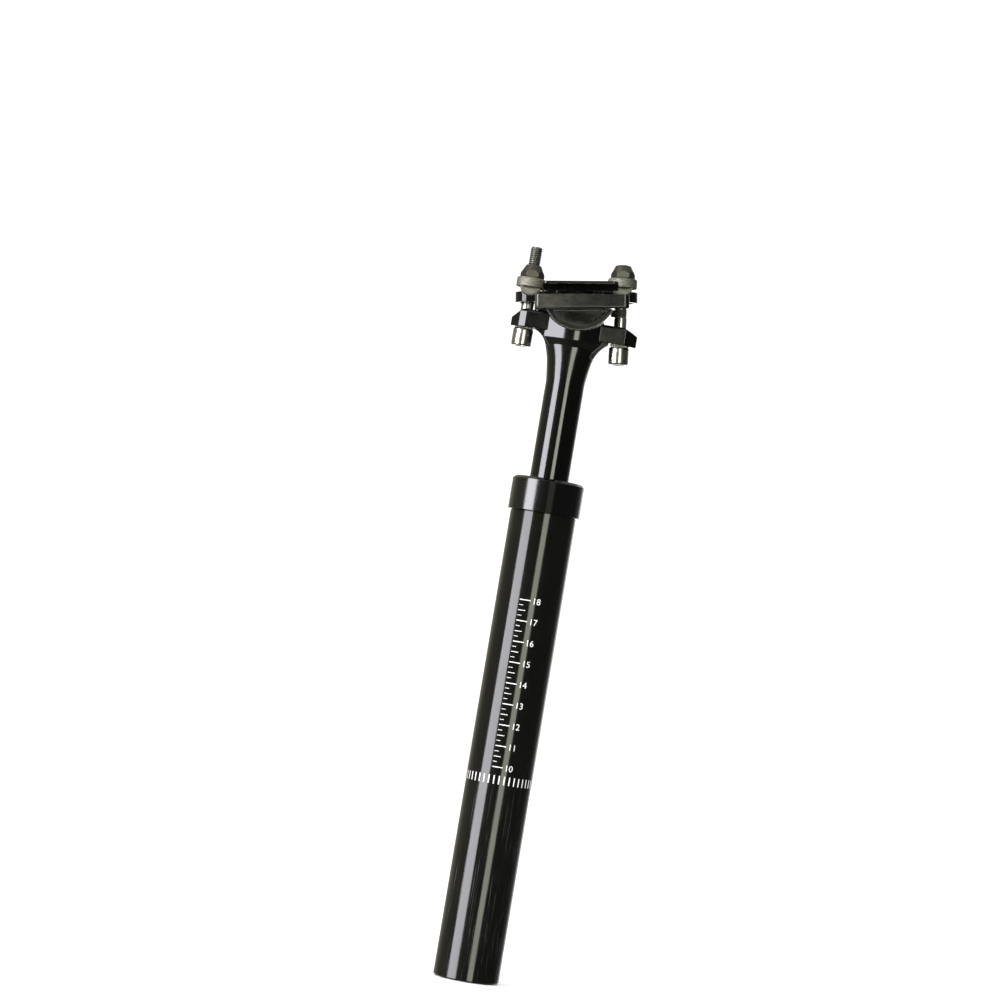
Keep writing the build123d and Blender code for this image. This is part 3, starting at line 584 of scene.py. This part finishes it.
def print_marks():
    """Plain depth scale on the tube's left side, numbered in centimetres, and a ring of dashes at the least insertion."""
    bm = bmesh.new()
    skin = 15.8 + 0.012

    def patch(x0, x1, z0, z1):
        """A rectangle of print; x is along the surface, from the left side's middle towards the rear."""
        cells = max(1, int(math.ceil((x1 - x0) / 0.5)))
        row = []
        for i in range(cells + 1):
            a = math.pi / 2 + (x0 + (x1 - x0) * i / cells) / skin
            row.append([bm.verts.new((skin * math.cos(a), skin * math.sin(a), z)) for z in (z0, z1)])
        for p, q in zip(row, row[1:]):
            bm.faces.new((p[0], q[0], q[1], p[1]))

    def number(text, x, z, size=4.2):
        """Plain figures, cut into narrow upright slices so that they bend round the tube."""
        curve = bpy.data.curves.new("figures", "FONT")
        curve.body = text
        curve.size = size
        curve.resolution_u = 6
        holder = bpy.data.objects.new("figures", curve)
        flat = bpy.data.meshes.new_from_object(holder)
        cut = bmesh.new()
        cut.from_mesh(flat)
        for k in range(1, int(size * 1.6 / 0.4)):
            bmesh.ops.bisect_plane(
                cut, geom=cut.verts[:] + cut.edges[:] + cut.faces[:], plane_co=(0.4 * k, 0, 0), plane_no=(1, 0, 0)
            )
        bmesh.ops.triangulate(cut, faces=cut.faces[:])
        made = {}
        for v in cut.verts:
            a = math.pi / 2 + (x + v.co.x) / skin
            made[v] = bm.verts.new((skin * math.cos(a), skin * math.sin(a), z + v.co.y))
        for f in cut.faces:
            bm.faces.new([made[v] for v in f.verts])
        cut.free()
        bpy.data.objects.remove(holder)
        bpy.data.curves.remove(curve)
        bpy.data.meshes.remove(flat)

    left = -4.4
    for step in range(0, 33):
        z = 102.0 + 2.5 * step
        if step % 4 == 0:
            patch(left, left + 5.2, z - 0.22, z + 0.22)
            number(str(10 + step // 4), left + 6.0, z - 1.45)
        elif step % 2 == 0:
            patch(left, left + 3.4, z - 0.16, z + 0.16)
        else:
            patch(left, left + 2.0, z - 0.13, z + 0.13)
    # dashes all round, a little below the scale
    count = 40
    for k in range(count):
        x = 2 * math.pi * skin * k / count
        patch(x - 0.3, x + 0.3, 94.0, 98.0)
    return finish("depth_scale", bm, "white_print", "tube")


print_marks()


# ---------------------------------------------------------------------------------------------------------------------
# stage, light and camera
# ---------------------------------------------------------------------------------------------------------------------


def stage():
    """A wide pale floor under the post's lower end."""
    bm = bmesh.new()
    bmesh.ops.create_circle(bm, cap_ends=True, radius=6.0, segments=96)
    mesh = bpy.data.meshes.new("floor")
    bm.to_mesh(mesh)
    bm.free()
    floor = bpy.data.objects.new("floor", mesh)
    SCENE.collection.objects.link(floor)
    floor.location = (0, 0, -0.0004)
    n = Net("floor", Metallic=0.0, IOR=1.3, Roughness=0.9)
    n.color(n.mix(n.noise(n.scaled(6, 6, 6), 1.0, 3.0), (0.93, 0.93, 0.93), (0.95, 0.95, 0.95)))
    mesh.materials.append(n.mat)
    floor.visible_glossy = False


def world():
    """White all round for the eye and for soft light; for gloss, a dim room, lighter in front and white behind."""
    w = bpy.data.worlds.new("studio")
    SCENE.world = w
    w.use_nodes = True
    t = w.node_tree
    t.nodes.clear()
    out = t.nodes.new("ShaderNodeOutputWorld")
    path = t.nodes.new("ShaderNodeLightPath")
    coord = t.nodes.new("ShaderNodeTexCoord")
    sep = t.nodes.new("ShaderNodeSeparateXYZ")
    t.links.new(coord.outputs["Generated"], sep.inputs["Vector"])

    def ramp(letter, a, b, c, d):
        node = t.nodes.new("ShaderNodeMapRange")
        node.interpolation_type = "SMOOTHSTEP"
        t.links.new(sep.outputs[letter], node.inputs["Value"])
        for key, v in zip(("From Min", "From Max", "To Min", "To Max"), (a, b, c, d)):
            node.inputs[key].default_value = v
        return node.outputs["Result"]

    def both(op, a, b):
        node = t.nodes.new("ShaderNodeMath")
        node.operation = op
        t.links.new(a, node.inputs[0])
        t.links.new(b, node.inputs[1])
        return node.outputs["Value"]

    strength = both("ADD", ramp("X", -0.25, 0.98, 0.040, 0.25), ramp("Y", -0.95, -0.35, 0.32, 0.0))
    strength = both("ADD", strength, ramp("Z", 0.25, 0.95, 0.0, 0.55))
    strength = both("ADD", strength, ramp("Z", -0.85, -0.25, 0.05, 0.0))
    tint = t.nodes.new("ShaderNodeMix")
    tint.data_type = "RGBA"
    t.links.new(ramp("X", -0.5, 0.7, 0.0, 1.0), tint.inputs["Factor"])
    sockets = [s for s in tint.inputs if s.type == "RGBA"]
    sockets[0].default_value = (0.93, 1.0, 0.92, 1)
    sockets[1].default_value = (1.0, 0.95, 0.74, 1)
    room = t.nodes.new("ShaderNodeBackground")
    t.links.new([s for s in tint.outputs if s.type == "RGBA"][0], room.inputs["Color"])
    t.links.new(strength, room.inputs["Strength"])
    white = t.nodes.new("ShaderNodeBackground")
    white.inputs["Color"].default_value = (1, 1, 1, 1)
    white.inputs["Strength"].default_value = 1.2
    pick = t.nodes.new("ShaderNodeMixShader")
    t.links.new(path.outputs["Is Glossy Ray"], pick.inputs["Fac"])
    t.links.new(white.outputs["Background"], pick.inputs[1])
    t.links.new(room.outputs["Background"], pick.inputs[2])
    t.links.new(pick.outputs["Shader"], out.inputs["Surface"])


def panel(name, bearing, distance, width, height, z, radiance, color=(1, 1, 1)):
    """A flat soft box that faces the post. Bearing is degrees from +Y towards +X."""
    light = bpy.data.lights.new(name, "AREA")
    light.shape = "RECTANGLE"
    light.size, light.size_y = width, height
    light.energy = radiance * math.pi * width * height
    light.color = color
    obj = bpy.data.objects.new(name, light)
    SCENE.collection.objects.link(obj)
    a = math.radians(bearing)
    place = Vector((math.sin(a) * distance, math.cos(a) * distance, z))
    aim = Vector((0, 0, z)) - place
    obj.matrix_world = Matrix.Translation(place) @ aim.to_track_quat("-Z", "Y").to_matrix().to_4x4()
    obj.visible_camera = False
    return obj


def span_panel(name, start, end, distance, height, z, radiance, color=(1, 1, 1)):
    half = math.radians((end - start) / 2)
    return panel(name, (start + end) / 2, distance, 2 * distance * math.tan(half), height, z, radiance, color)


stage()
world()
span_panel("key", 36.8, 68.8, 2.0, 3.0, 0.30, 10.4, (0.93, 0.93, 1.0))
fill = span_panel("fill", -22.5, -4.4, 2.4, 3.2, 0.30, 5.5, (0.97, 1.0, 0.82))
span_panel("back", 172.0, 188.0, 2.2, 3.0, 0.30, 2.0)
span_panel("rear", 198.0, 213.0, 2.2, 3.0, 0.30, 0.9)

trace = span_panel("trace", -22.5, -4.4, 2.4, 3.2, 0.30, 0.3, (0.97, 1.0, 0.82))

# the collar is kept out of the fill light, and gets a faint one of its own
for light, state in ((fill, "EXCLUDE"), (trace, "INCLUDE")):
    flagged = bpy.data.collections.new("flagged")
    flagged.objects.link(NODE["collar_nut"])
    light.light_linking.receiver_collection = flagged
    flagged.collection_objects[0].light_linking.link_state = state


def camera():
    """Level with the post's middle, on its left side, rolled so that the post leans as in the picture."""
    cam = bpy.data.cameras.new("camera")
    cam.sensor_fit = "HORIZONTAL"
    cam.sensor_width = 36.0
    cam.lens = 120.3402
    cam.clip_start, cam.clip_end = 0.05, 100.0
    obj = bpy.data.objects.new("camera", cam)
    SCENE.collection.objects.link(obj)
    ahead = Vector((0.013302, -0.999083, 0.040690)).normalized()
    right = Vector((-0.986245, -0.006404, 0.165164))
    right = (right - ahead * right.dot(ahead)).normalized()
    up = right.cross(ahead)
    turn = Matrix((right, up, -ahead)).transposed().to_4x4()
    obj.matrix_world = Matrix.Translation((0.0, 1.6, 0.162)) @ turn
    SCENE.camera = obj


camera()
SCENE.view_settings.view_transform = "Standard"
SCENE.view_settings.look = "None"
SCENE.view_settings.exposure = 0.0
SCENE.view_settings.gamma = 1.0
